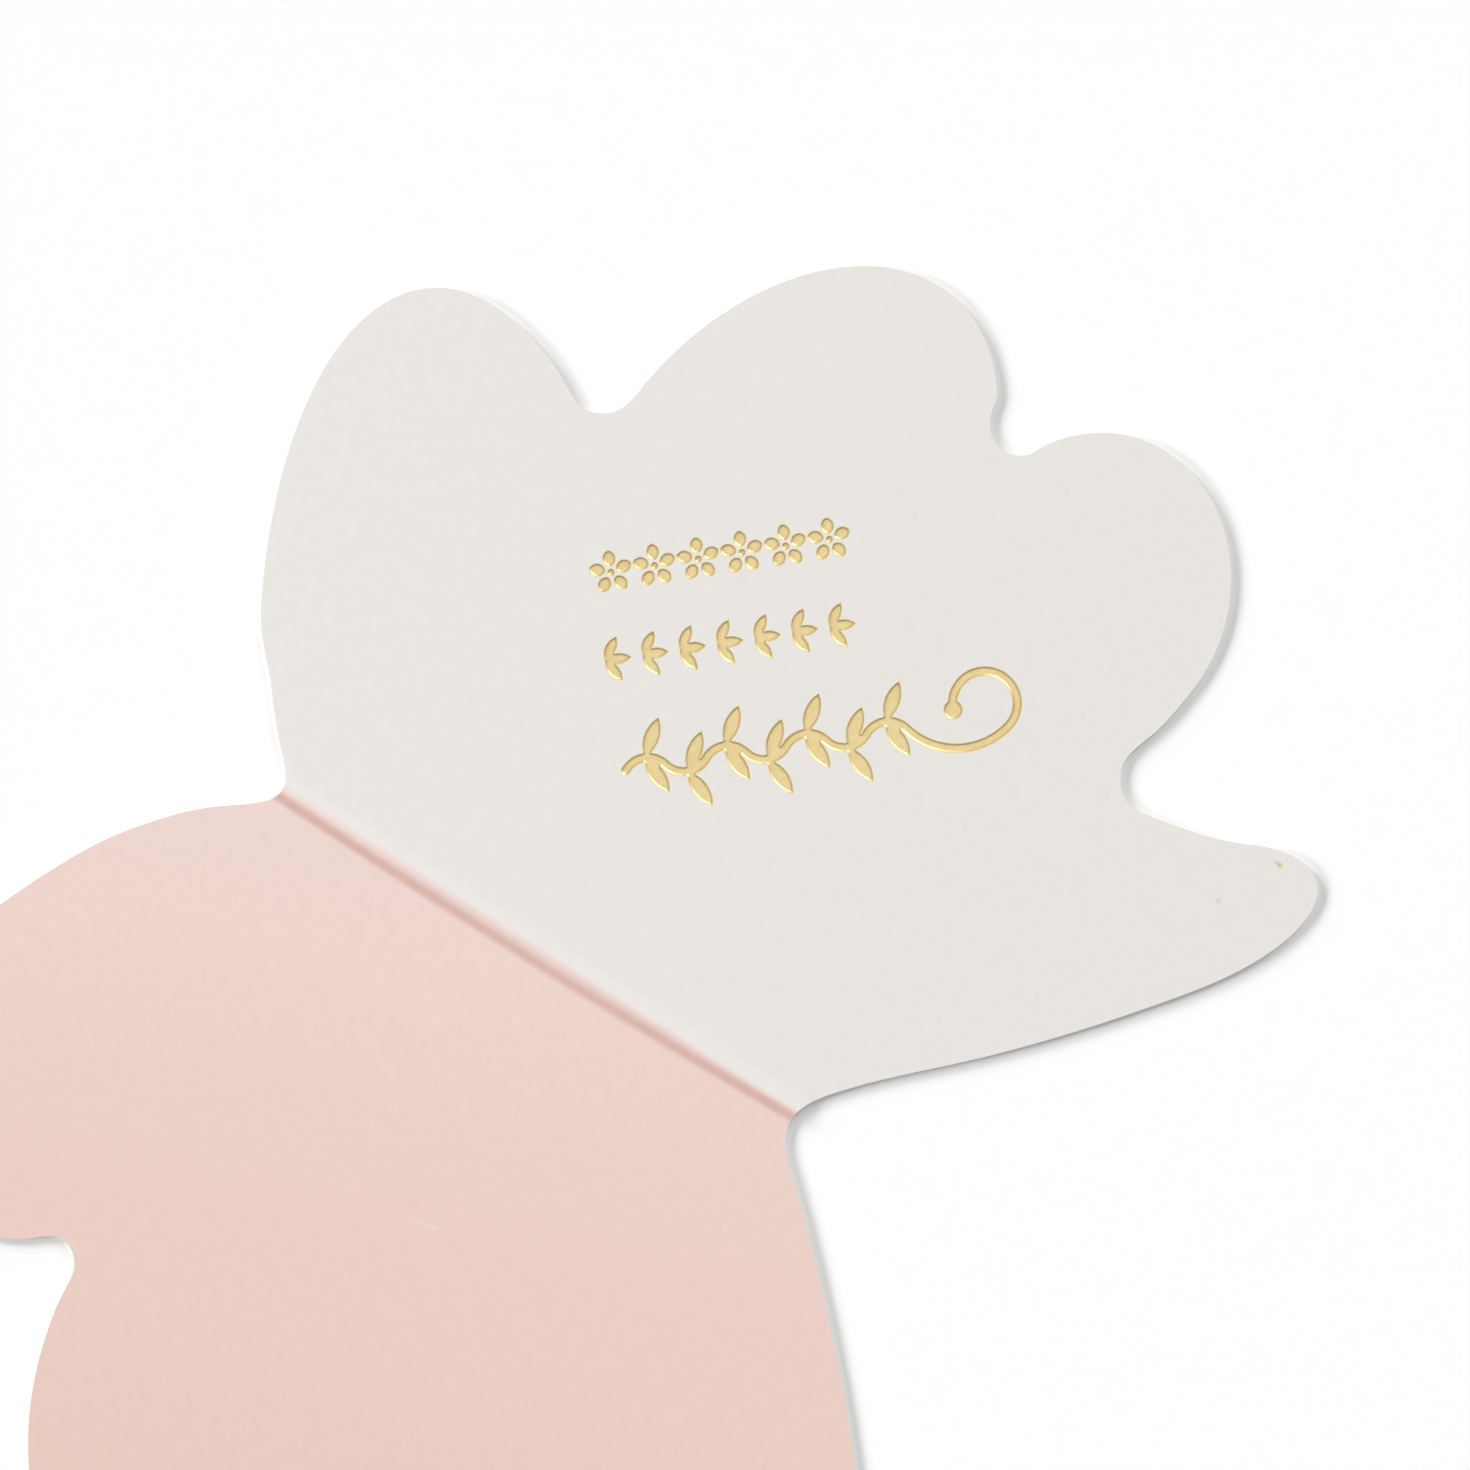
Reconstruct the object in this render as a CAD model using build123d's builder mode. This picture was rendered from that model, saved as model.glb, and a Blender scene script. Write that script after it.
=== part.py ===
"""Greeting card: one die-cut sheet of board, creased once and opened flat, inside face up. Millimetres.

The fold runs along X. The back panel lies on its +Y side and the cover on its -Y side.
Outline sizes are measured from the middle of the fold, as (along the fold, away from it).
"""

import os

from build123d import *

# Board, and its crease: a bead that stands up inside the card over a groove in its outside.
board_thickness = 0.5
bead_height = 0.3
bead_back_flank = 2.0
bead_cover_flank = 1.5
groove_depth = 0.25
groove_half_width = 1.3

# Lobes of a panel: each is part of a leaning ellipse, run clockwise from a start angle.
left_lobe_centre = (-21.6, 17.8)
left_lobe_long_radius = 47.1
left_lobe_short_radius = 21.9
left_lobe_lean_angle = 125.7
left_lobe_start_angle = 74.0
left_lobe_sweep_angle = 111.4

crown_lobe_centre = (-4.2, 58.3)
crown_lobe_long_radius = 28.1
crown_lobe_short_radius = 19.0
crown_lobe_lean_angle = 78.9
crown_lobe_start_angle = 93.6
crown_lobe_sweep_angle = 127.0

right_lobe_centre = (30.8, 66.2)
right_lobe_long_radius = 17.8
right_lobe_short_radius = 15.5
right_lobe_lean_angle = 104.0
right_lobe_start_angle = 38.8
right_lobe_sweep_angle = 151.4

tip_centre = (54.8, 36.7)
tip_long_radius = 21.2
tip_short_radius = 8.4
tip_lean_angle = 47.1
tip_start_angle = 46.3
tip_sweep_angle = 122.5

# Notches between the lobes: the places that each curve passes, from left to right.
left_notch_wall = (-30.0, 54.5)
left_notch_floor = (-27.4, 53.7)
left_notch_foot = (-24.6, 55.1)
upper_notch_wall = (11.1, 77.3)
upper_notch_floor = (14.2, 74.4)
upper_notch_foot = (17.2, 75.7)
right_notch_lip = (45.1, 56.2)
right_notch_wall = (44.2, 51.7)
right_notch_floor = (46.5, 48.7)
right_notch_foot = (50.1, 48.7)

# Flanks that run down to the fold, and the necks where the outline crosses it.
left_flank = (-41.5, 10.2)
left_flank_foot = (-37.1, 5.0)
left_neck = (-33.5, 0.1)
right_flank = (46.3, 14.2)
right_flank_foot = (36.3, 4.0)
right_neck = (33.8, -0.8)
right_neck_foot = (34.2, -3.0)

# The cover repeats the back panel across the fold, a little larger and further to the left.
# Its left lobe is longer, and its left notch and its flanks are its own.
cover_ratio = 1.019
cover_drift = -0.9
cover_left_lobe_long_radius = 50.0
cover_left_lobe_sweep_angle = 108.0
cover_left_flank = (-43.4, -9.9)
cover_left_flank_foot = (-38.6, -5.2)
cover_left_notch_lip = (-31.4, -57.3)
cover_left_notch_floor = (-27.6, -55.1)
cover_left_notch_foot = (-25.5, -56.4)
cover_right_flank = (46.4, -15.1)
cover_right_flank_foot = (36.9, -6.1)

# Ornament pressed into the back panel: three rows, turned about the middle of the second.
press_depth = 0.15
ornament_middle = (-0.1, 40.3)
ornament_angle = 40.5

# First row: blossoms.
blossom_row_middle = (0.4, 9.6)
blossom_count = 6
blossom_pitch = 4.9
blossom_eye_radius = 0.45
petal_count = 5
petal_foot_radius = 0.6
petal_length = 1.9
petal_width = 1.5

# Second row: sprigs of three leaves, one after another.
sprig_count = 7
sprig_pitch = 4.2
sprig_foot = -1.4
sprig_leaf_angle = 56.0
sprig_leaf_length = 3.0
sprig_leaf_width = 1.3

# Third row: a waved vine with two leaves on each wave, ending in a curl round a berry.
vine_start = (-13.5, -12.4)
vine_width = 1.1
vine_wave_count = 7
vine_wave_length = 4.5
vine_wave_height = 1.1
vine_leaf_angle = 62.0
vine_leaf_length = 4.8
vine_leaf_width = 1.8
vine_rise_radius = 8.0
vine_rise_angle = 90.0
vine_curl_radius = 3.6
vine_curl_angle = 235.0
vine_berry_radius = 1.1


class Panel:
    """One panel of the card: places the outline's sizes on its side of the fold."""

    def __init__(self, side, ratio, drift):
        self.side = side
        self.ratio = ratio
        self.drift = drift

    def point(self, place):
        """Moves a place on the back panel to its own place on this panel."""
        along, away = place
        return (along * self.ratio + self.drift, self.side * away * self.ratio)

    def lobe(self, centre, long_radius, short_radius, lean, start, sweep):
        """Draws a lobe as part of a leaning ellipse, mirrored on the cover's side."""
        return EllipticalCenterArc(
            self.point(centre),
            long_radius * self.ratio,
            short_radius * self.ratio,
            self.side * start,
            arc_size=-self.side * sweep,
            rotation=self.side * lean,
        )

    def notch(self, before, places, after):
        """Joins two lobes by a smooth curve through the places of the notch between them."""
        Spline(before @ 1, *places, after @ 0, tangents=(before % 1, after % 0))

    def edge(self, left_long_radius, left_sweep, left_notch):
        """Draws the panel's edge round its lobes and returns the first and last of them."""
        left = self.lobe(
            left_lobe_centre,
            left_long_radius,
            left_lobe_short_radius,
            left_lobe_lean_angle,
            left_lobe_start_angle,
            left_sweep,
        )
        crown = self.lobe(
            crown_lobe_centre,
            crown_lobe_long_radius,
            crown_lobe_short_radius,
            crown_lobe_lean_angle,
            crown_lobe_start_angle,
            crown_lobe_sweep_angle,
        )
        right = self.lobe(
            right_lobe_centre,
            right_lobe_long_radius,
            right_lobe_short_radius,
            right_lobe_lean_angle,
            right_lobe_start_angle,
            right_lobe_sweep_angle,
        )
        tip = self.lobe(
            tip_centre,
            tip_long_radius,
            tip_short_radius,
            tip_lean_angle,
            tip_start_angle,
            tip_sweep_angle,
        )
        upper_notch = (upper_notch_wall, upper_notch_floor, upper_notch_foot)
        right_notch = (right_notch_lip, right_notch_wall, right_notch_floor, right_notch_foot)
        self.notch(left, left_notch, crown)
        self.notch(crown, [self.point(place) for place in upper_notch], right)
        self.notch(right, [self.point(place) for place in right_notch], tip)
        return left, tip


def leaf(length, width):
    """Makes the sketch of a pointed leaf that grows from its foot along +X."""
    with BuildSketch() as blade:
        with BuildLine():
            SagittaArc((0, 0), (length, 0), width / 2)
            SagittaArc((0, 0), (length, 0), -width / 2)
        make_face()
    return blade.sketch


# Die-cut outline of the open card.
back = Panel(1, 1.0, 0.0)
cover = Panel(-1, cover_ratio, cover_drift)
with BuildSketch() as outline:
    with BuildLine():
        back_left, back_tip = back.edge(
            left_lobe_long_radius,
            left_lobe_sweep_angle,
            (left_notch_wall, left_notch_floor, left_notch_foot),
        )
        cover_left, cover_tip = cover.edge(
            cover_left_lobe_long_radius,
            cover_left_lobe_sweep_angle,
            (cover_left_notch_lip, cover_left_notch_floor, cover_left_notch_foot),
        )
        Spline(
            cover_left @ 0,
            cover_left_flank,
            cover_left_flank_foot,
            left_neck,
            left_flank_foot,
            left_flank,
            back_left @ 0,
            tangents=(-(cover_left % 0), back_left % 0),
        )
        Spline(
            back_tip @ 1,
            right_flank,
            right_flank_foot,
            right_neck,
            right_neck_foot,
            cover_right_flank_foot,
            cover_right_flank,
            cover_tip @ 1,
            tangents=(back_tip % 1, -(cover_tip % 1)),
        )
    make_face()

# Pressed ornament, drawn on the board's face with its rows level.
petal = leaf(petal_length, petal_width)
sprig_leaf = leaf(sprig_leaf_length, sprig_leaf_width)
vine_leaf = leaf(vine_leaf_length, vine_leaf_width)
ornament_plane = Plane(
    origin=(*ornament_middle, board_thickness),
    x_dir=Vector(1, 0, 0).rotate(Axis.Z, ornament_angle),
)
with BuildSketch(ornament_plane) as ornament:
    with Locations(blossom_row_middle):
        with GridLocations(blossom_pitch, 1, blossom_count, 1):
            Circle(blossom_eye_radius)
            with PolarLocations(petal_foot_radius, petal_count, start_angle=90):
                add(petal)
    with GridLocations(sprig_pitch, 1, sprig_count, 1):
        for angle in (-sprig_leaf_angle, 0, sprig_leaf_angle):
            with Locations(Location((sprig_foot, 0), angle)):
                add(sprig_leaf)
    crests = []
    with BuildLine(mode=Mode.PRIVATE) as vine:
        for wave in range(vine_wave_count):
            foot = Vector(*vine_start) + Vector(wave * vine_wave_length, 0)
            wave_height = vine_wave_height * (-1) ** wave
            stem = SagittaArc(foot, foot + Vector(vine_wave_length, 0), wave_height)
            crests.append(stem @ 0.5)
        rise = JernArc(stem @ 1, stem % 1, vine_rise_radius, vine_rise_angle)
        curl = JernArc(rise @ 1, rise % 1, vine_curl_radius, vine_curl_angle)
    for stem in vine.edges():
        SlotArc(stem, vine_width)
    for crest in crests:
        for angle in (-vine_leaf_angle, vine_leaf_angle):
            with Locations(Location(crest, angle)):
                add(vine_leaf)
    with Locations(curl @ 1):
        Circle(vine_berry_radius)

# The card: a creased sheet, cut to the outline and then pressed.
sheet = outline.sketch.bounding_box()
with BuildPart() as card:
    with BuildSketch(Plane.YZ.offset(sheet.min.X)) as section:
        with BuildLine():
            bead = Spline(
                (-bead_cover_flank, board_thickness),
                (0, board_thickness + bead_height),
                (bead_back_flank, board_thickness),
                tangents=((1, 0), (1, 0), (1, 0)),
            )
            groove = Spline(
                (groove_half_width, 0),
                (0, groove_depth),
                (-groove_half_width, 0),
                tangents=((-1, 0), (-1, 0), (-1, 0)),
            )
            Polyline(bead @ 1, (sheet.max.Y, board_thickness), (sheet.max.Y, 0), groove @ 0)
            Polyline(groove @ 1, (sheet.min.Y, 0), (sheet.min.Y, board_thickness), bead @ 0)
        make_face()
    extrude(amount=sheet.size.X)
    extrude(outline.sketch, amount=board_thickness + bead_height, mode=Mode.INTERSECT)
    extrude(ornament.sketch, amount=-press_depth, mode=Mode.SUBTRACT)

# The open card's origin is under the middle of its footprint.
footprint = card.part.bounding_box().center()
card.part.position -= (footprint.X, footprint.Y, 0)

os.makedirs("parts", exist_ok=True)
card.part.label = "card"
export_step(card.part, "parts/card.step")
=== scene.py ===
"""Greeting card opened flat on a white table: its board, its printed colours and its pressed gold foil.

Sizes are in millimetres, and the meshes are turned to metres when they are done. The fold of the card
runs along X, the back panel lies on its +Y side and the cover on its -Y side.
"""

from __future__ import annotations

import logging
import math
from dataclasses import dataclass, field
from enum import IntEnum

import bmesh
import bpy
from mathutils import Matrix, Vector
from mathutils.geometry import interpolate_bezier

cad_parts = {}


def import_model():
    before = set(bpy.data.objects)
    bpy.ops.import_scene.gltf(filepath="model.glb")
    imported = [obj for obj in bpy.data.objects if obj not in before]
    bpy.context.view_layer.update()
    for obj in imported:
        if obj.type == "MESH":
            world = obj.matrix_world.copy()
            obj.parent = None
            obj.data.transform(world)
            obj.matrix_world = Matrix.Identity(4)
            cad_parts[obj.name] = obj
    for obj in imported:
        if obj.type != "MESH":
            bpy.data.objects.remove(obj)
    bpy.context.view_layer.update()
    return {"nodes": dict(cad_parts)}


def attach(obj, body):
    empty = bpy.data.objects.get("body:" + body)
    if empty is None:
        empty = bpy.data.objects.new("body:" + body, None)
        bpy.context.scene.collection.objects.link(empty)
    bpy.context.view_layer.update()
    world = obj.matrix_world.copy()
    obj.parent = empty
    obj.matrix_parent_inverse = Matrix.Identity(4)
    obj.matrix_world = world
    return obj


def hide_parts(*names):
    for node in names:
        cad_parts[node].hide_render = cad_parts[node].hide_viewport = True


log = logging.getLogger("greeting_card")

MM = 0.001

# Most of a noise pattern lies between these two levels, and its middle is halfway.
NOISE_REACH = (0.3, 0.7)
NOISE_MIDDLE = 0.5


def linear_colour(code: str) -> tuple[float, float, float, float]:
    """Turns an sRGB hex code to a linear colour.

    Args:
        code: six hex digits, such as "f0e8d8".

    Returns:
        The linear red, green, blue and an alpha of 1.
    """
    channels = [int(code[start : start + 2], 16) / 255 for start in (0, 2, 4)]
    linear = [c / 12.92 if c <= 0.04045 else ((c + 0.055) / 1.055) ** 2.4 for c in channels]
    return (linear[0], linear[1], linear[2], 1.0)


def add_node(
    tree: bpy.types.NodeTree, kind: str, links: dict | None = None, **settings: object
) -> bpy.types.Node:
    """Adds one node with its settings and its inputs.

    Args:
        tree: the node tree that gets the node.
        kind: the node's type name.
        links: what each input holds, by name or number: an output socket to link, or a plain value.
        settings: the node's own properties.

    Returns:
        The new node.
    """
    node = tree.nodes.new(kind)
    for name, value in settings.items():
        setattr(node, name, value)
    for name, value in (links or {}).items():
        if isinstance(value, bpy.types.NodeSocket):
            tree.links.new(value, node.inputs[name])
        else:
            node.inputs[name].default_value = value
    return node


def new_material(name: str) -> tuple[bpy.types.Material, bpy.types.NodeTree, bpy.types.Node]:
    """Makes a material with a plain shader.

    Args:
        name: the material's name.

    Returns:
        The material, its node tree and its shader node.
    """
    made = bpy.data.materials.new(name)
    made.use_nodes = True
    return made, made.node_tree, made.node_tree.nodes["Principled BSDF"]


def uneven(
    tree: bpy.types.NodeTree,
    noise: bpy.types.Node,
    colour: bpy.types.NodeSocket | tuple[float, float, float],
    reach: tuple[float, float],
) -> bpy.types.NodeSocket:
    """Makes a colour darker where a noise pattern is low and lighter where it is high.

    Args:
        tree: the material's node tree.
        noise: the pattern's node.
        colour: the even colour.
        reach: what the colour is multiplied by where the pattern is low, and where it is high.

    Returns:
        A socket with the uneven colour.
    """
    level = add_node(
        tree,
        "ShaderNodeMapRange",
        {
            "Value": noise.outputs["Fac"],
            "From Min": NOISE_REACH[0],
            "From Max": NOISE_REACH[1],
            "To Min": reach[0],
            "To Max": reach[1],
        },
    )
    scaled = add_node(
        tree, "ShaderNodeVectorMath", {0: colour, "Scale": level.outputs["Result"]}, operation="SCALE"
    )
    return scaled.outputs["Vector"]


def mesh_object(
    name: str, mesh_data: bmesh.types.BMesh, materials: list[bpy.types.Material]
) -> bpy.types.Object:
    """Turns a finished mesh to an object of the scene.

    Args:
        name: the object's name.
        mesh_data: the mesh in metres, which is freed.
        materials: the mesh's materials, in order.

    Returns:
        The new object.
    """
    mesh = bpy.data.meshes.new(name)
    mesh_data.to_mesh(mesh)
    mesh_data.free()
    for material in materials:
        mesh.materials.append(material)
    made = bpy.data.objects.new(name, mesh)
    bpy.context.scene.collection.objects.link(made)
    return made


class Surface(IntEnum):
    """The card's surfaces, in the order of their materials on the mesh."""

    PRINTED = 0
    FOIL = 1
    CUT = 2


@dataclass(frozen=True)
class Crease:
    """The pressed fold: a bead inside the card and a groove in its outside."""

    along: float
    bead_height: float = 0.3
    bead_back_flank: float = 2.0
    bead_cover_flank: float = 1.5
    groove_depth: float = 0.25
    groove_half_width: float = 1.3
    step: float = 0.1

    def rows(self) -> list[float]:
        """Finds the places across the fold where the board needs a row of edges.

        Returns:
            Their Y, from the cover's side to the back panel's.
        """
        first = -self.bead_cover_flank
        count = round((self.bead_back_flank - first) / self.step)
        return [self.along + first + self.step * row for row in range(count + 1)]

    def rise(self, across: float, upper: bool) -> float:
        """Gives how far the crease lifts the board at a place.

        Args:
            across: the place's Y.
            upper: True for the inside face, False for the outside.

        Returns:
            The lift in millimetres.
        """
        distance = across - self.along
        if upper:
            height = self.bead_height
            reach = self.bead_back_flank if distance > 0 else self.bead_cover_flank
        else:
            height = self.groove_depth
            reach = self.groove_half_width
        share = min(abs(distance) / reach, 1.0)
        return height * (1 - 3 * share**2 + 2 * share**3)


@dataclass(frozen=True)
class InkWithPaintedFalloff:
    """A field of printed ink with painted shade: its colour darkens slowly from one end of the panel to the
    other, as the light falls off across it.
    """

    first: str
    second: str
    painted_falloff: tuple[float, float]
    reach: tuple[float, float]

    def colour(self, tree: bpy.types.NodeTree, place: bpy.types.NodeSocket) -> bpy.types.NodeSocket:
        """Adds the nodes of the field.

        Args:
            tree: the material's node tree.
            place: the place in millimetres from the middle of the fold.

        Returns:
            A socket with the field's colour.
        """
        # painted shade: the print darkens along this direction, standing in for the light's falloff
        along = add_node(
            tree, "ShaderNodeVectorMath", {0: place, 1: (*self.painted_falloff, 0.0)}, operation="DOT_PRODUCT"
        )
        share = add_node(
            tree,
            "ShaderNodeMapRange",
            {"Value": along.outputs["Value"], "From Min": self.reach[0], "From Max": self.reach[1]},
        )
        mix = add_node(
            tree,
            "ShaderNodeMix",
            {
                "Factor": share.outputs["Result"],
                "A": linear_colour(self.first),
                "B": linear_colour(self.second),
            },
            data_type="RGBA",
        )
        return mix.outputs["Result"]


@dataclass(frozen=True)
class Mark:
    """A small stain or scuff on the print: an ellipse that fades out towards its edge."""

    centre: tuple[float, float]
    length: float
    width: float
    colour: str
    angle: float = 0.0
    core: float = 0.35

    def over(
        self, tree: bpy.types.NodeTree, place: bpy.types.NodeSocket, colour: bpy.types.NodeSocket
    ) -> bpy.types.NodeSocket:
        """Lays the mark over a colour.

        Args:
            tree: the material's node tree.
            place: the place in millimetres from the middle of the fold.
            colour: the colour under the mark.

        Returns:
            A socket with the marked colour.
        """
        local = add_node(
            tree,
            "ShaderNodeMapping",
            {
                "Vector": place,
                "Location": (*self.centre, 0.0),
                "Rotation": (0.0, 0.0, math.radians(self.angle)),
                "Scale": (self.length / 2, self.width / 2, 1.0),
            },
            vector_type="TEXTURE",
        )
        distance = add_node(tree, "ShaderNodeVectorMath", {0: local.outputs["Vector"]}, operation="LENGTH")
        share = add_node(
            tree,
            "ShaderNodeMapRange",
            {"Value": distance.outputs["Value"], "From Min": 1.0, "From Max": self.core},
            interpolation_type="SMOOTHSTEP",
        )
        mix = add_node(
            tree,
            "ShaderNodeMix",
            {"Factor": share.outputs["Result"], "A": colour, "B": linear_colour(self.colour)},
            data_type="RGBA",
        )
        return mix.outputs["Result"]


@dataclass(frozen=True)
class PrintedBoard:
    """Heavy uncoated cotton board, offset printed.

    To the eye it is dull and soft, white above the fold and pale pink below it. The ink lies a little
    unevenly on the fibres and has a few small stains. Shade is painted into the print: a darker pink in
    the foot of the crease, and a slow darkening across each panel as the light falls off.
    """

    fold_x: float
    fold_y: float
    # painted shade: each field darkens slowly across its panel, as the light falls off
    white: InkWithPaintedFalloff = InkWithPaintedFalloff("dddad7", "dad7d2", (1.0, 0.2), (-53.6, 71.4))
    pink: InkWithPaintedFalloff = InkWithPaintedFalloff("e2ccc7", "dbbdb2", (0.4, -1.0), (-21.4, 78.6))
    ink_reach: tuple[float, float] = (0.745, -0.275)
    ink_lean: float = 0.0068
    # painted shade: a darker pink in the foot of the crease, where the bead shades the board; the band lies
    # between the two ranges below and bows along the fold
    crease_shade_colour: str = "d3b0a6"
    crease_shade_near: tuple[float, float] = (-0.3, -1.2)
    crease_shade_far: tuple[float, float] = (-2.15, -1.4)
    crease_shade_bow: float = -0.0005
    wander: float = 0.15
    wander_length: float = 14.0
    wander_detail: float = 1.0
    marks: tuple[Mark, ...] = (
        Mark((64.35, 51.65), 0.9, 0.75, "cdc6ca", angle=35.0),
        Mark((65.25, 51.55), 0.85, 0.65, "ddd4ba", angle=10.0),
        Mark((64.8, 51.6), 0.9, 0.75, "c8b698", angle=-30.0),
        Mark((61.1, 44.6), 0.9, 0.7, "d3c9bf", angle=20.0),
        Mark((3.5, -31.3), 1.6, 1.1, "dac0b4", angle=30.0, core=0.0),
        Mark((3.7, -33.0), 2.4, 0.4, "e2cdc4", angle=8.0, core=0.0),
        Mark((4.75, -32.6), 1.2, 0.5, "dfcbc1", angle=13.0, core=0.0),
        Mark((6.2, -32.35), 2.5, 0.65, "decec2", angle=13.0, core=0.15),
    )
    ragged: float = 0.22
    ragged_size: float = 0.5
    ragged_detail: float = 2.0
    mottle_size: float = 1.6
    mottle_detail: float = 5.0
    mottle_roughness: float = 0.72
    mottle_reach: tuple[float, float] = (0.977, 1.02)
    grain_size: float = 0.35
    grain_detail: float = 3.0
    grain_depth: float = 0.05
    grain_strength: float = 0.12
    roughness: float = 0.88
    specular: float = 0.25

    def material(self) -> bpy.types.Material:
        """Builds the printed face's material.

        Returns:
            The material, whose patterns are measured in millimetres from the middle of the fold.
        """
        made, tree, shader = new_material("uncoated board, printed")
        place = self._place(tree)
        printed = self._printed(tree, place)
        marked = self._marked(tree, place, printed)
        tree.links.new(self._mottled(tree, place, marked), shader.inputs["Base Color"])
        tree.links.new(self._grain(tree, place), shader.inputs["Normal"])
        shader.inputs["Roughness"].default_value = self.roughness
        shader.inputs["Specular IOR Level"].default_value = self.specular
        return made

    def _place(self, tree: bpy.types.NodeTree) -> bpy.types.NodeSocket:
        """Gives the place on the face in millimetres from the middle of the fold, leaving out its height.

        Args:
            tree: the material's node tree.

        Returns:
            A socket with the place.
        """
        coordinates = add_node(tree, "ShaderNodeTexCoord")
        mapping = add_node(
            tree,
            "ShaderNodeMapping",
            {
                "Vector": coordinates.outputs["Object"],
                "Location": (-self.fold_x, -self.fold_y, 0.0),
                "Scale": (1 / MM, 1 / MM, 0.0),
            },
        )
        return mapping.outputs["Vector"]

    def _printed(self, tree: bpy.types.NodeTree, place: bpy.types.NodeSocket) -> bpy.types.NodeSocket:
        """Prints the two fields, which meet on the bead, and paints shade as a darker pink at the bead's
        foot.

        Args:
            tree: the material's node tree.
            place: the place in millimetres from the middle of the fold.

        Returns:
            A socket with the printed colour.
        """
        axes = add_node(tree, "ShaderNodeSeparateXYZ", {0: place})
        along = axes.outputs["X"]
        across = self._across(tree, axes)
        edge = add_node(
            tree, "ShaderNodeMath", {0: along, 1: self.ink_lean, 2: across}, operation="MULTIPLY_ADD"
        )
        square = add_node(tree, "ShaderNodeMath", {0: along, 1: along}, operation="MULTIPLY")
        foot = add_node(
            tree,
            "ShaderNodeMath",
            {0: square.outputs["Value"], 1: self.crease_shade_bow, 2: across},
            operation="MULTIPLY_ADD",
        )
        ink, near, far = (
            add_node(
                tree,
                "ShaderNodeMapRange",
                {"Value": distance.outputs["Value"], "From Min": reach[0], "From Max": reach[1]},
                interpolation_type="SMOOTHSTEP",
            ).outputs["Result"]
            for distance, reach in ((edge, self.ink_reach), (foot, self.crease_shade_near), (foot, self.crease_shade_far))
        )
        # painted shade: the darker pink fills the crease's foot, where both ranges overlap
        painted_shade = add_node(tree, "ShaderNodeMath", {0: near, 1: far}, operation="MULTIPLY")
        pink = add_node(
            tree,
            "ShaderNodeMix",
            {
                "Factor": painted_shade.outputs["Value"],
                "A": self.pink.colour(tree, place),
                "B": linear_colour(self.crease_shade_colour),
            },
            data_type="RGBA",
        )
        both = add_node(
            tree,
            "ShaderNodeMix",
            {"Factor": ink, "A": self.white.colour(tree, place), "B": pink.outputs["Result"]},
            data_type="RGBA",
        )
        return both.outputs["Result"]

    def _across(self, tree: bpy.types.NodeTree, axes: bpy.types.Node) -> bpy.types.NodeSocket:
        """Gives the distance from the fold, which wanders a little along the card as a real crease does.

        Args:
            tree: the material's node tree.
            axes: the node that gives the place's X and Y.

        Returns:
            A socket with the distance in millimetres.
        """
        noise = add_node(
            tree,
            "ShaderNodeTexNoise",
            {"W": axes.outputs["X"], "Scale": 1 / self.wander_length, "Detail": self.wander_detail},
            noise_dimensions="1D",
        )
        shift = add_node(
            tree,
            "ShaderNodeMapRange",
            {"Value": noise.outputs["Fac"], "To Min": -self.wander / 2, "To Max": self.wander / 2},
        )
        across = add_node(
            tree, "ShaderNodeMath", {0: axes.outputs["Y"], 1: shift.outputs["Result"]}, operation="ADD"
        )
        return across.outputs["Value"]

    def _marked(
        self, tree: bpy.types.NodeTree, place: bpy.types.NodeSocket, colour: bpy.types.NodeSocket
    ) -> bpy.types.NodeSocket:
        """Lays the small stains on the print, with ragged edges because they soak into the fibres.

        Args:
            tree: the material's node tree.
            place: the place in millimetres from the middle of the fold.
            colour: the print's colour.

        Returns:
            A socket with the stained colour.
        """
        noise = add_node(
            tree,
            "ShaderNodeTexNoise",
            {"Vector": place, "Scale": 1 / self.ragged_size, "Detail": self.ragged_detail},
        )
        pull = add_node(
            tree,
            "ShaderNodeVectorMath",
            {0: noise.outputs["Color"], 1: (NOISE_MIDDLE, NOISE_MIDDLE, NOISE_MIDDLE)},
            operation="SUBTRACT",
        )
        shift = add_node(
            tree,
            "ShaderNodeVectorMath",
            {0: pull.outputs["Vector"], 1: (self.ragged, self.ragged, 0.0), 2: place},
            operation="MULTIPLY_ADD",
        )
        for mark in self.marks:
            colour = mark.over(tree, shift.outputs["Vector"], colour)
        return colour

    def _mottled(
        self, tree: bpy.types.NodeTree, place: bpy.types.NodeSocket, colour: bpy.types.NodeSocket
    ) -> bpy.types.NodeSocket:
        """Varies a colour by about a part in fifty, as ink does on the fibres of uncoated board.

        Args:
            tree: the material's node tree.
            place: the place in millimetres from the middle of the fold.
            colour: the even colour.

        Returns:
            A socket with the mottled colour.
        """
        noise = add_node(
            tree,
            "ShaderNodeTexNoise",
            {
                "Vector": place,
                "Scale": 1 / self.mottle_size,
                "Detail": self.mottle_detail,
                "Roughness": self.mottle_roughness,
            },
        )
        return uneven(tree, noise, colour, self.mottle_reach)

    def _grain(self, tree: bpy.types.NodeTree, place: bpy.types.NodeSocket) -> bpy.types.NodeSocket:
        """Gives the normal of the board's felt grain, drawn coarser than its fibres so that it shows.

        Args:
            tree: the material's node tree.
            place: the place in millimetres from the middle of the fold.

        Returns:
            A socket with the normal.
        """
        noise = add_node(
            tree,
            "ShaderNodeTexNoise",
            {"Vector": place, "Scale": 1 / self.grain_size, "Detail": self.grain_detail},
        )
        bump = add_node(
            tree,
            "ShaderNodeBump",
            {
                "Height": noise.outputs["Fac"],
                "Strength": self.grain_strength,
                "Distance": self.grain_depth * MM,
            },
        )
        return bump.outputs["Normal"]


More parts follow.
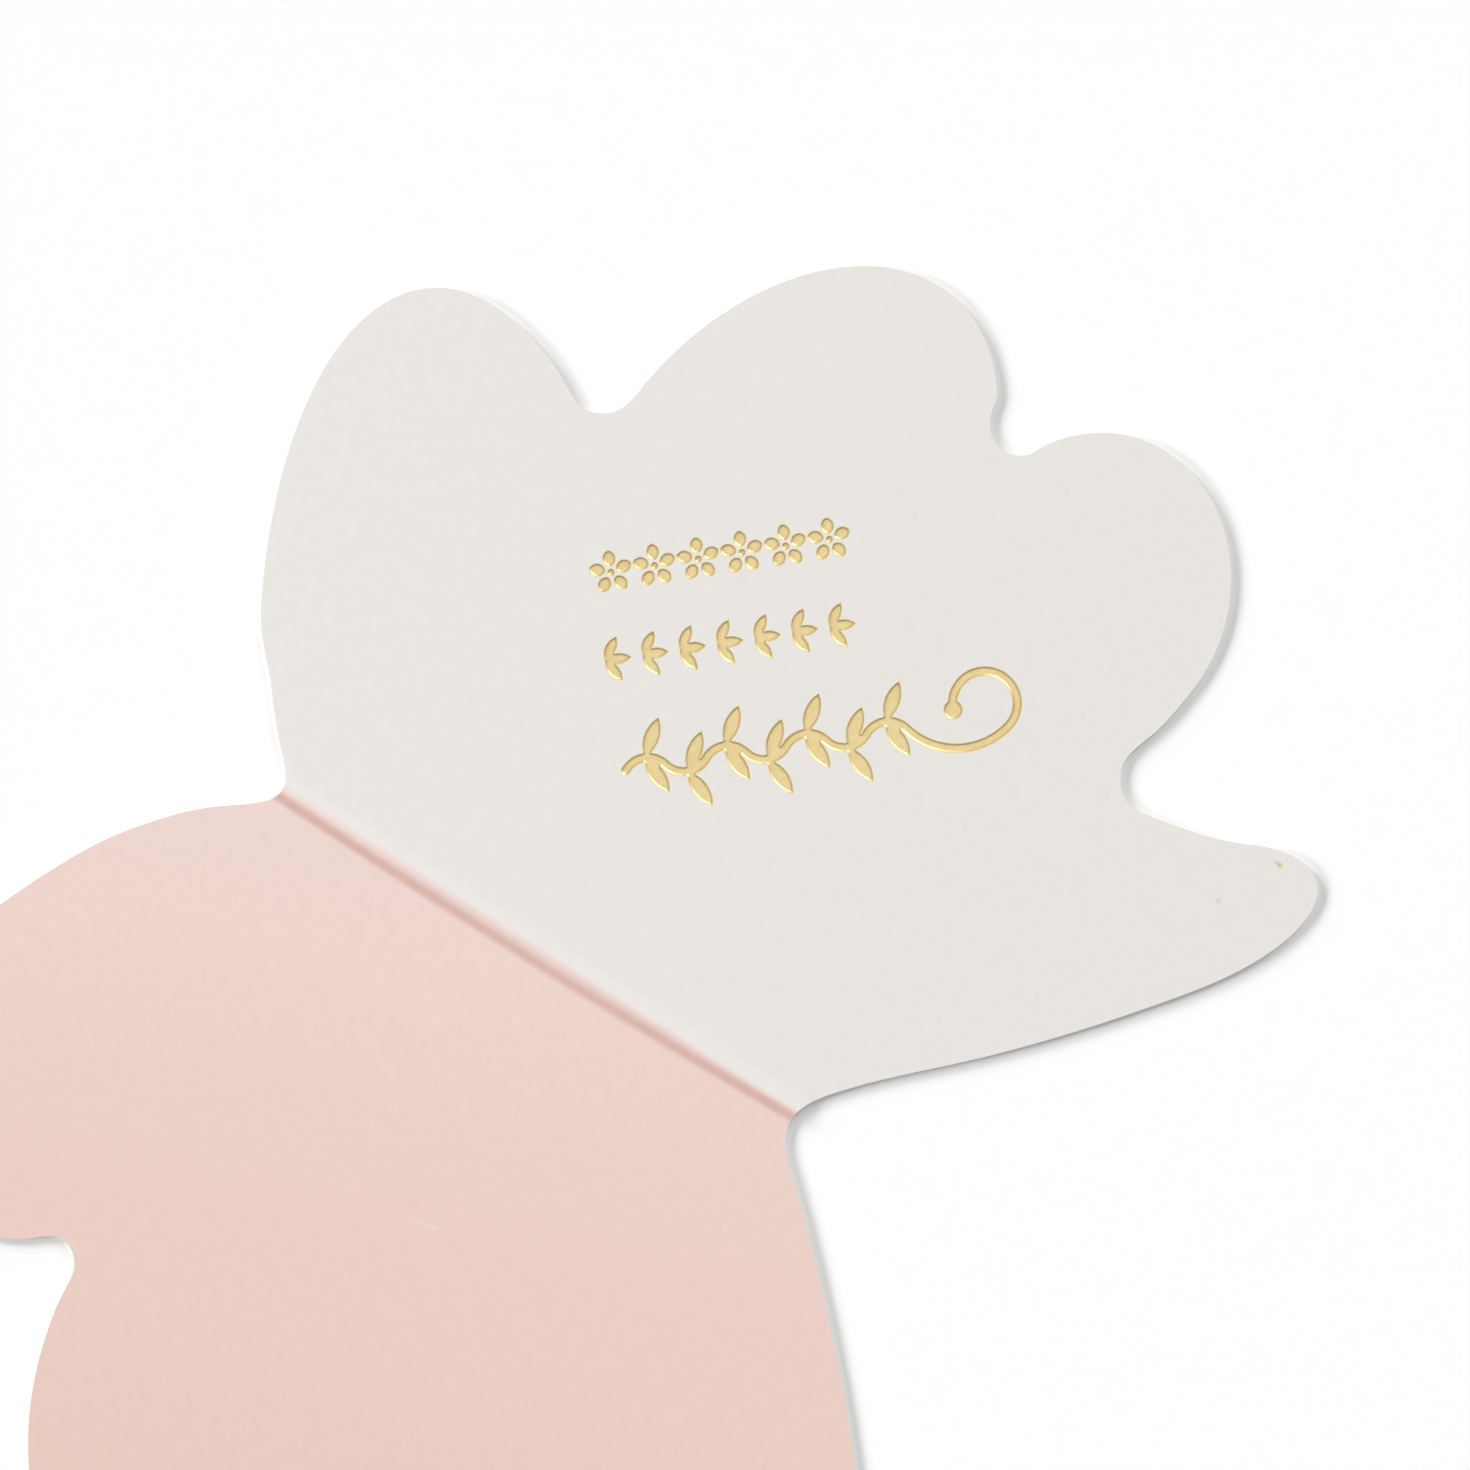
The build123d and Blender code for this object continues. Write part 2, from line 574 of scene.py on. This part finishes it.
@dataclass(frozen=True)
class CutBoard:
    """Bare core of the same board, at its die-cut edge and on its plain outside.

    To the eye it is a slightly warmer white than the print, dull, with short fibres.
    """

    colour: str = "dcd7ce"
    fibre_size: float = 0.25
    fibre_detail: float = 3.0
    fibre_depth: float = 0.03
    fibre_strength: float = 0.3
    fibre_reach: tuple[float, float] = (0.95, 1.03)
    roughness: float = 0.92
    specular: float = 0.2

    def material(self) -> bpy.types.Material:
        """Builds the bare board's material.

        Returns:
            The material.
        """
        made, tree, shader = new_material("uncoated board, bare")
        coordinates = add_node(tree, "ShaderNodeTexCoord")
        noise = add_node(
            tree,
            "ShaderNodeTexNoise",
            {
                "Vector": coordinates.outputs["Object"],
                "Scale": 1 / (self.fibre_size * MM),
                "Detail": self.fibre_detail,
            },
        )
        fibrous = uneven(tree, noise, linear_colour(self.colour)[:3], self.fibre_reach)
        bump = add_node(
            tree,
            "ShaderNodeBump",
            {
                "Height": noise.outputs["Fac"],
                "Strength": self.fibre_strength,
                "Distance": self.fibre_depth * MM,
            },
        )
        tree.links.new(fibrous, shader.inputs["Base Color"])
        tree.links.new(bump.outputs["Normal"], shader.inputs["Normal"])
        shader.inputs["Roughness"].default_value = self.roughness
        shader.inputs["Specular IOR Level"].default_value = self.specular
        return made


@dataclass(frozen=True)
class GoldFoil:
    """Matte gold foil, hot-stamped into the board.

    To the eye it is a pale satin metal: the thin film takes on the board's grain, so it glints in small
    patches, brighter on the walls that face the light and brown on those that face away. The grain
    breaks the film finely, so a part of the light is scattered as by a paint.
    """

    colour: str = "fce8ad"
    patch_colour: str = "f7dea2"
    patch_size: float = 0.7
    patch_detail: float = 3.0
    patch_reach: tuple[float, float] = (0.35, 0.65)
    grain_size: float = 0.3
    grain_detail: float = 2.0
    grain_depth: float = 0.04
    grain_strength: float = 0.35
    metallic: float = 0.75
    roughness: float = 0.48

    def material(self) -> bpy.types.Material:
        """Builds the foil's material.

        Returns:
            The material.
        """
        made, tree, shader = new_material("matte gold foil, hot-stamped")
        coordinates = add_node(tree, "ShaderNodeTexCoord")
        patches, grain = (
            add_node(
                tree,
                "ShaderNodeTexNoise",
                {"Vector": coordinates.outputs["Object"], "Scale": 1 / (size * MM), "Detail": detail},
            )
            for size, detail in (
                (self.patch_size, self.patch_detail),
                (self.grain_size, self.grain_detail),
            )
        )
        share = add_node(
            tree,
            "ShaderNodeMapRange",
            {
                "Value": patches.outputs["Fac"],
                "From Min": self.patch_reach[0],
                "From Max": self.patch_reach[1],
            },
        )
        mix = add_node(
            tree,
            "ShaderNodeMix",
            {
                "Factor": share.outputs["Result"],
                "A": linear_colour(self.colour),
                "B": linear_colour(self.patch_colour),
            },
            data_type="RGBA",
        )
        bump = add_node(
            tree,
            "ShaderNodeBump",
            {
                "Height": grain.outputs["Fac"],
                "Strength": self.grain_strength,
                "Distance": self.grain_depth * MM,
            },
        )
        tree.links.new(mix.outputs["Result"], shader.inputs["Base Color"])
        tree.links.new(bump.outputs["Normal"], shader.inputs["Normal"])
        shader.inputs["Metallic"].default_value = self.metallic
        shader.inputs["Roughness"].default_value = self.roughness
        return made


@dataclass(frozen=True)
class WhiteTable:
    """Plain white laminate that the card lies on: smooth, dull and almost as bright as the light."""

    colour: str = "f0f0f0"
    roughness: float = 0.9

    def material(self) -> bpy.types.Material:
        """Builds the table's material.

        Returns:
            The material.
        """
        made, _, shader = new_material("white laminate")
        shader.inputs["Base Color"].default_value = linear_colour(self.colour)
        shader.inputs["Roughness"].default_value = self.roughness
        return made


@dataclass
class Card:
    """The creased sheet of board, with its printed face, its pressed foil and its cut edge.

    The fold's middle is at fold_x, fold_y, because the frame's origin is the middle of the footprint.
    A rim edge lies above rim_floor, between a face steeper than rim_slope and one more level. The face
    is filled at the first angle of fill_turns that leaves it whole. Each of press_steps is the width of
    a ring round a motif and how far the ring sinks.
    """

    node: bpy.types.Object
    thickness: float = 0.5
    fold_x: float = -6.599
    fold_y: float = 0.818
    cut_round: float = 0.15
    cut_round_steps: int = 2
    merge_distance: float = 0.001
    rim_floor: float = 0.45
    rim_slope: float = 0.5
    curve_cuts: int = 3
    corner_angle: float = 25.0
    fill_turns: tuple[float, ...] = (0.7, 1.1, 0.3, 0.45, 0.9, 1.3, 0.2, 0.6)
    fill_scale: float = 100.0
    fill_tolerance: float = 0.0001
    row_distance: float = 0.0001
    level_slope: float = 0.99999
    press_steps: tuple[tuple[float, float], ...] = (
        (0.05, 0.004),
        (0.05, 0.013),
        (0.05, 0.035),
        (0.06, 0.06),
        (0.05, 0.03),
        (0.04, 0.008),
    )
    crease: Crease = field(init=False)

    def __post_init__(self) -> None:
        """Places the crease on the card's fold."""
        self.crease = Crease(along=self.fold_y)

    def build(self) -> bpy.types.Object:
        """Builds the card as one closed mesh.

        Returns:
            The card's object, with its materials.
        """
        mesh_data = bmesh.new()
        loops = self._rim_loops()
        for turn in self.fill_turns:
            mesh_data.clear()
            outline, ornament = self._draw_loops(mesh_data, loops)
            self._fill_faces(mesh_data, outline, ornament, turn)
            if self._is_whole(mesh_data, outline):
                break
            log.info("the face isn't whole at a turn of %.2f", turn)
        self._press_foil(mesh_data)
        self._thicken(mesh_data, outline)
        self._fold(mesh_data)
        self._set_shading(mesh_data)
        bmesh.ops.scale(mesh_data, verts=mesh_data.verts, vec=(MM, MM, MM))
        finishes = (PrintedBoard(self.fold_x, self.fold_y), GoldFoil(), CutBoard())
        return mesh_object("printed_card", mesh_data, [finish.material() for finish in finishes])

    def _draw_loops(
        self, mesh_data: bmesh.types.BMesh, loops: list[list[Vector]]
    ) -> tuple[list[bmesh.types.BMEdge], list[bmesh.types.BMEdge]]:
        """Draws the loops round the upper face and round each pressed motif, smoothed between their points.

        Args:
            mesh_data: the mesh that gets the loops as edges.
            loops: each loop as its points in order.

        Returns:
            The outline's edges, and the edges of all the motifs.
        """
        rings = []
        for points in loops:
            corners = self._smoothed(points)
            verts = [mesh_data.verts.new((*corner, self.thickness)) for corner in corners]
            after = verts[1:] + verts[:1]
            edges = [mesh_data.edges.new(pair) for pair in zip(verts, after)]
            reach = max(vert.co.x for vert in verts) - min(vert.co.x for vert in verts)
            rings.append((reach, edges))
        rings.sort(key=lambda ring: -ring[0])
        return rings[0][1], [edge for _, edges in rings[1:] for edge in edges]

    def _rim_loops(self) -> list[list[Vector]]:
        """Reads the loops where the upper face of the CAD node meets an upright wall.

        Returns:
            Each loop as its points in order.
        """
        source = bmesh.new()
        source.from_mesh(self.node.data)
        bmesh.ops.scale(source, verts=source.verts, vec=(1 / MM, 1 / MM, 1 / MM))
        bmesh.ops.remove_doubles(source, verts=source.verts, dist=self.merge_distance)
        neighbours: dict[bmesh.types.BMVert, list[bmesh.types.BMVert]] = {}
        for edge in source.edges:
            slopes = sorted(abs(face.normal.z) for face in edge.link_faces)
            high = all(vert.co.z > self.rim_floor for vert in edge.verts)
            if high and slopes[0] < self.rim_slope < slopes[1]:
                first, second = edge.verts
                neighbours.setdefault(first, []).append(second)
                neighbours.setdefault(second, []).append(first)
        loops = []
        while neighbours:
            vert = next(iter(neighbours))
            loop = []
            while vert in neighbours:
                loop.append(vert.co.xy.copy())
                ahead = [other for other in neighbours.pop(vert) if other in neighbours]
                vert = ahead[0] if ahead else None
            loops.append(loop)
        source.free()
        return loops

    def _smoothed(self, points: list[Vector]) -> list[Vector]:
        """Puts more points on a loop, along smooth curves between its corners.

        Args:
            points: the loop's points in order.

        Returns:
            The points of the smoother loop.
        """
        count = len(points)
        result = []
        for index in range(count):
            before, start, end, after = (points[(index + shift) % count] for shift in (-1, 0, 1, 2))
            third = (end - start).length / 3
            leave = start + self._tangent(before, start, end, leaving=True) * third
            arrive = end - self._tangent(start, end, after, leaving=False) * third
            result += interpolate_bezier(start, leave, arrive, end, self.curve_cuts + 2)[:-1]
        return result

    def _tangent(self, before: Vector, here: Vector, after: Vector, leaving: bool) -> Vector:
        """Gives a loop's direction at a point, which is one-sided at a corner.

        Args:
            before: the point before it.
            here: the point.
            after: the point after it.
            leaving: True for the direction out of a corner, False for the direction into it.

        Returns:
            The direction, with a length of 1.
        """
        back = here - before
        ahead = after - here
        if back.angle(ahead) > math.radians(self.corner_angle):
            return (ahead if leaving else back).normalized()
        return (back.normalized() * ahead.length + ahead.normalized() * back.length).normalized()

    def _fill_faces(
        self,
        mesh_data: bmesh.types.BMesh,
        outline: list[bmesh.types.BMEdge],
        ornament: list[bmesh.types.BMEdge],
        turn: float,
    ) -> None:
        """Fills the printed face round the motifs, and the motifs themselves.

        The loops are filled while they are turned and enlarged, so that no short edge lies level within
        the filler's fixed tolerance.

        Args:
            mesh_data: the mesh that holds the loops.
            outline: the edges of the outline.
            ornament: the edges of the motifs.
            turn: how far the loops are turned meanwhile, in radians.
        """
        away = Matrix.Rotation(turn, 3, "Z") * self.fill_scale
        bmesh.ops.transform(mesh_data, verts=mesh_data.verts, matrix=away.to_4x4())
        for edges, surface in ((outline + ornament, Surface.PRINTED), (ornament, Surface.FOIL)):
            filled = bmesh.ops.triangle_fill(mesh_data, use_beauty=True, edges=edges)
            for part in filled["geom"]:
                if isinstance(part, bmesh.types.BMFace):
                    part.material_index = surface
        bmesh.ops.transform(mesh_data, verts=mesh_data.verts, matrix=away.inverted().to_4x4())
        for face in mesh_data.faces:
            if face.normal.z < 0:
                face.normal_flip()

    def _is_whole(self, mesh_data: bmesh.types.BMesh, outline: list[bmesh.types.BMEdge]) -> bool:
        """Tells whether the filled face has no hole and nothing doubled.

        Args:
            mesh_data: the mesh with its filled face.
            outline: the edges of the outline.

        Returns:
            True if each inner edge has two faces, each outer edge has one, and the areas agree.
        """
        rim = set(outline)
        joined = all(len(edge.link_faces) == (1 if edge in rim else 2) for edge in mesh_data.edges)
        ends = (edge.verts for edge in outline)
        inside = sum(first.co.xy.cross(second.co.xy) for first, second in ends) / 2
        covered = sum(face.calc_area() for face in mesh_data.faces)
        return joined and math.isclose(abs(inside), covered, rel_tol=self.fill_tolerance)

    def _press_foil(self, mesh_data: bmesh.types.BMesh) -> None:
        """Sinks each motif into the board by sloping, rounded steps.

        Args:
            mesh_data: the mesh with its filled face.
        """
        foil = [face for face in mesh_data.faces if face.material_index == Surface.FOIL]
        for width, depth in self.press_steps:
            bmesh.ops.inset_region(
                mesh_data,
                faces=foil,
                thickness=width,
                depth=-depth,
                use_boundary=True,
                use_even_offset=False,
            )

    def _thicken(self, mesh_data: bmesh.types.BMesh, outline: list[bmesh.types.BMEdge]) -> None:
        """Gives the sheet its cut edge and its outside, and takes the sharpness off both rims.

        Args:
            mesh_data: the mesh with its upper face.
            outline: the edges round that face.
        """
        made = bmesh.ops.extrude_edge_only(mesh_data, edges=outline)
        lower_verts = [part for part in made["geom"] if isinstance(part, bmesh.types.BMVert)]
        lower_edges = [part for part in made["geom"] if isinstance(part, bmesh.types.BMEdge)]
        wall = [part for part in made["geom"] if isinstance(part, bmesh.types.BMFace)]
        bmesh.ops.translate(mesh_data, verts=lower_verts, vec=(0.0, 0.0, -self.thickness))
        rim = [edge for edge in lower_edges if all(vert in lower_verts for vert in edge.verts)]
        underside = bmesh.ops.triangle_fill(mesh_data, use_beauty=True, edges=rim)
        under = [part for part in underside["geom"] if isinstance(part, bmesh.types.BMFace)]
        for face in wall + under:
            face.material_index = Surface.CUT
        bmesh.ops.recalc_face_normals(mesh_data, faces=mesh_data.faces)
        rounded = bmesh.ops.bevel(
            mesh_data,
            geom=outline + rim,
            offset=self.cut_round,
            offset_type="OFFSET",
            affect="EDGES",
            segments=self.cut_round_steps,
            profile=0.5,
            material=-1,
            clamp_overlap=True,
        )
        for face in rounded["faces"]:
            face.material_index = Surface.CUT

    def _fold(self, mesh_data: bmesh.types.BMesh) -> None:
        """Cuts rows of edges beside the fold and lifts them to the crease's section.

        Args:
            mesh_data: the mesh of the level sheet.
        """
        for row in self.crease.rows():
            bmesh.ops.bisect_plane(
                mesh_data,
                geom=mesh_data.verts[:] + mesh_data.edges[:] + mesh_data.faces[:],
                dist=self.row_distance,
                plane_co=(0.0, row, 0.0),
                plane_no=(0.0, 1.0, 0.0),
            )
        middle = self.thickness / 2
        for vert in mesh_data.verts:
            vert.co.z += self.crease.rise(vert.co.y, upper=vert.co.z > middle)

    def _set_shading(self, mesh_data: bmesh.types.BMesh) -> None:
        """Leaves the level faces flat and smooths the rest."""
        for face in mesh_data.faces:
            face.smooth = abs(face.normal.z) < self.level_slope


@dataclass(frozen=True)
class Lamp:
    """A soft distant light: its share of the light on a level surface, and where it hangs.

    The bearing is in degrees clockwise from the top of the view, and the elevation and the softness,
    which is the light's apparent width, are in degrees too.
    """

    name: str
    share: float
    elevation: float
    bearing: float
    softness: float
    in_gloss: bool = True

    def hang(self, roll: float) -> bpy.types.Object:
        """Hangs the light.

        Args:
            roll: how far the view is turned about Z, in degrees.

        Returns:
            The light's object.
        """
        height = math.radians(self.elevation)
        sun = bpy.data.lights.new(self.name, "SUN")
        sun.energy = self.share * math.pi / math.sin(height)
        sun.angle = math.radians(self.softness)
        towards = Vector((0.0, math.cos(height), math.sin(height)))
        towards.rotate(Matrix.Rotation(math.radians(roll - self.bearing), 3, "Z"))
        lamp = bpy.data.objects.new(self.name, sun)
        lamp.rotation_mode = "QUATERNION"
        lamp.rotation_quaternion = towards.to_track_quat("Z", "Y")
        lamp.location = towards
        lamp.visible_glossy = self.in_gloss
        bpy.context.scene.collection.objects.link(lamp)
        return lamp


@dataclass
class Studio:
    """The table, the soft light and the camera that looks straight down."""

    roll: float = 31.955
    view_middle: tuple[float, float] = (-0.709, 32.68)
    view_width: float = 163.2
    lens: float = 200.0
    sensor: float = 36.0
    table_size: float = 3000.0
    sky_strength: float = 0.14
    lamps: tuple[Lamp, ...] = (
        Lamp("left_window", 0.24, 18.0, -92.0, 15.0, in_gloss=False),
        Lamp("corner_window", 0.26, 17.0, -52.0, 16.0, in_gloss=False),
        Lamp("right_window", 0.25, 22.0, 36.0, 36.0),
        Lamp("ceiling_light", 0.26, 80.0, 160.0, 70.0),
    )

    def build(self) -> None:
        """Builds the table, the lights, the world and the camera."""
        self._build_table()
        for lamp in self.lamps:
            lamp.hang(self.roll)
        self._build_world()
        self._build_camera()
        bpy.context.scene.view_settings.view_transform = "Standard"

    def _build_table(self) -> None:
        """Lays the table under the card."""
        mesh_data = bmesh.new()
        bmesh.ops.create_grid(mesh_data, x_segments=1, y_segments=1, size=self.table_size * MM / 2)
        table = mesh_object("table", mesh_data, [WhiteTable().material()])

    def _build_world(self) -> None:
        """Gives the even white light of the room."""
        world = bpy.data.worlds.new("white_room")
        world.use_nodes = True
        background = world.node_tree.nodes["Background"]
        background.inputs["Color"].default_value = (1.0, 1.0, 1.0, 1.0)
        background.inputs["Strength"].default_value = self.sky_strength
        bpy.context.scene.world = world

    def _build_camera(self) -> None:
        """Hangs the camera over the card, turned as the card lies in the view."""
        camera_data = bpy.data.cameras.new("camera")
        camera_data.lens = self.lens
        camera_data.sensor_width = self.sensor
        height = self.view_width * self.lens / self.sensor
        camera = bpy.data.objects.new("camera", camera_data)
        camera.location = (self.view_middle[0] * MM, self.view_middle[1] * MM, height * MM)
        camera.rotation_euler = (0.0, 0.0, math.radians(self.roll))
        bpy.context.scene.collection.objects.link(camera)
        bpy.context.scene.camera = camera


def corners(bounds: tuple[Vector, Vector]) -> list[list[float]]:
    """Turns a box's two corners to plain lists."""
    return [list(corner) for corner in bounds]


def main() -> None:
    """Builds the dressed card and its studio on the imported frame."""
    logging.basicConfig(level=logging.INFO, format="%(name)s: %(message)s")
    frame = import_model()
    card = Card(frame["nodes"]["card"]).build()
    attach(card, "root")
    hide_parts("card")
    log.info("%s has %d faces", card.name, len(card.data.polygons))
    Studio().build()


if __name__ == "__main__":
    main()
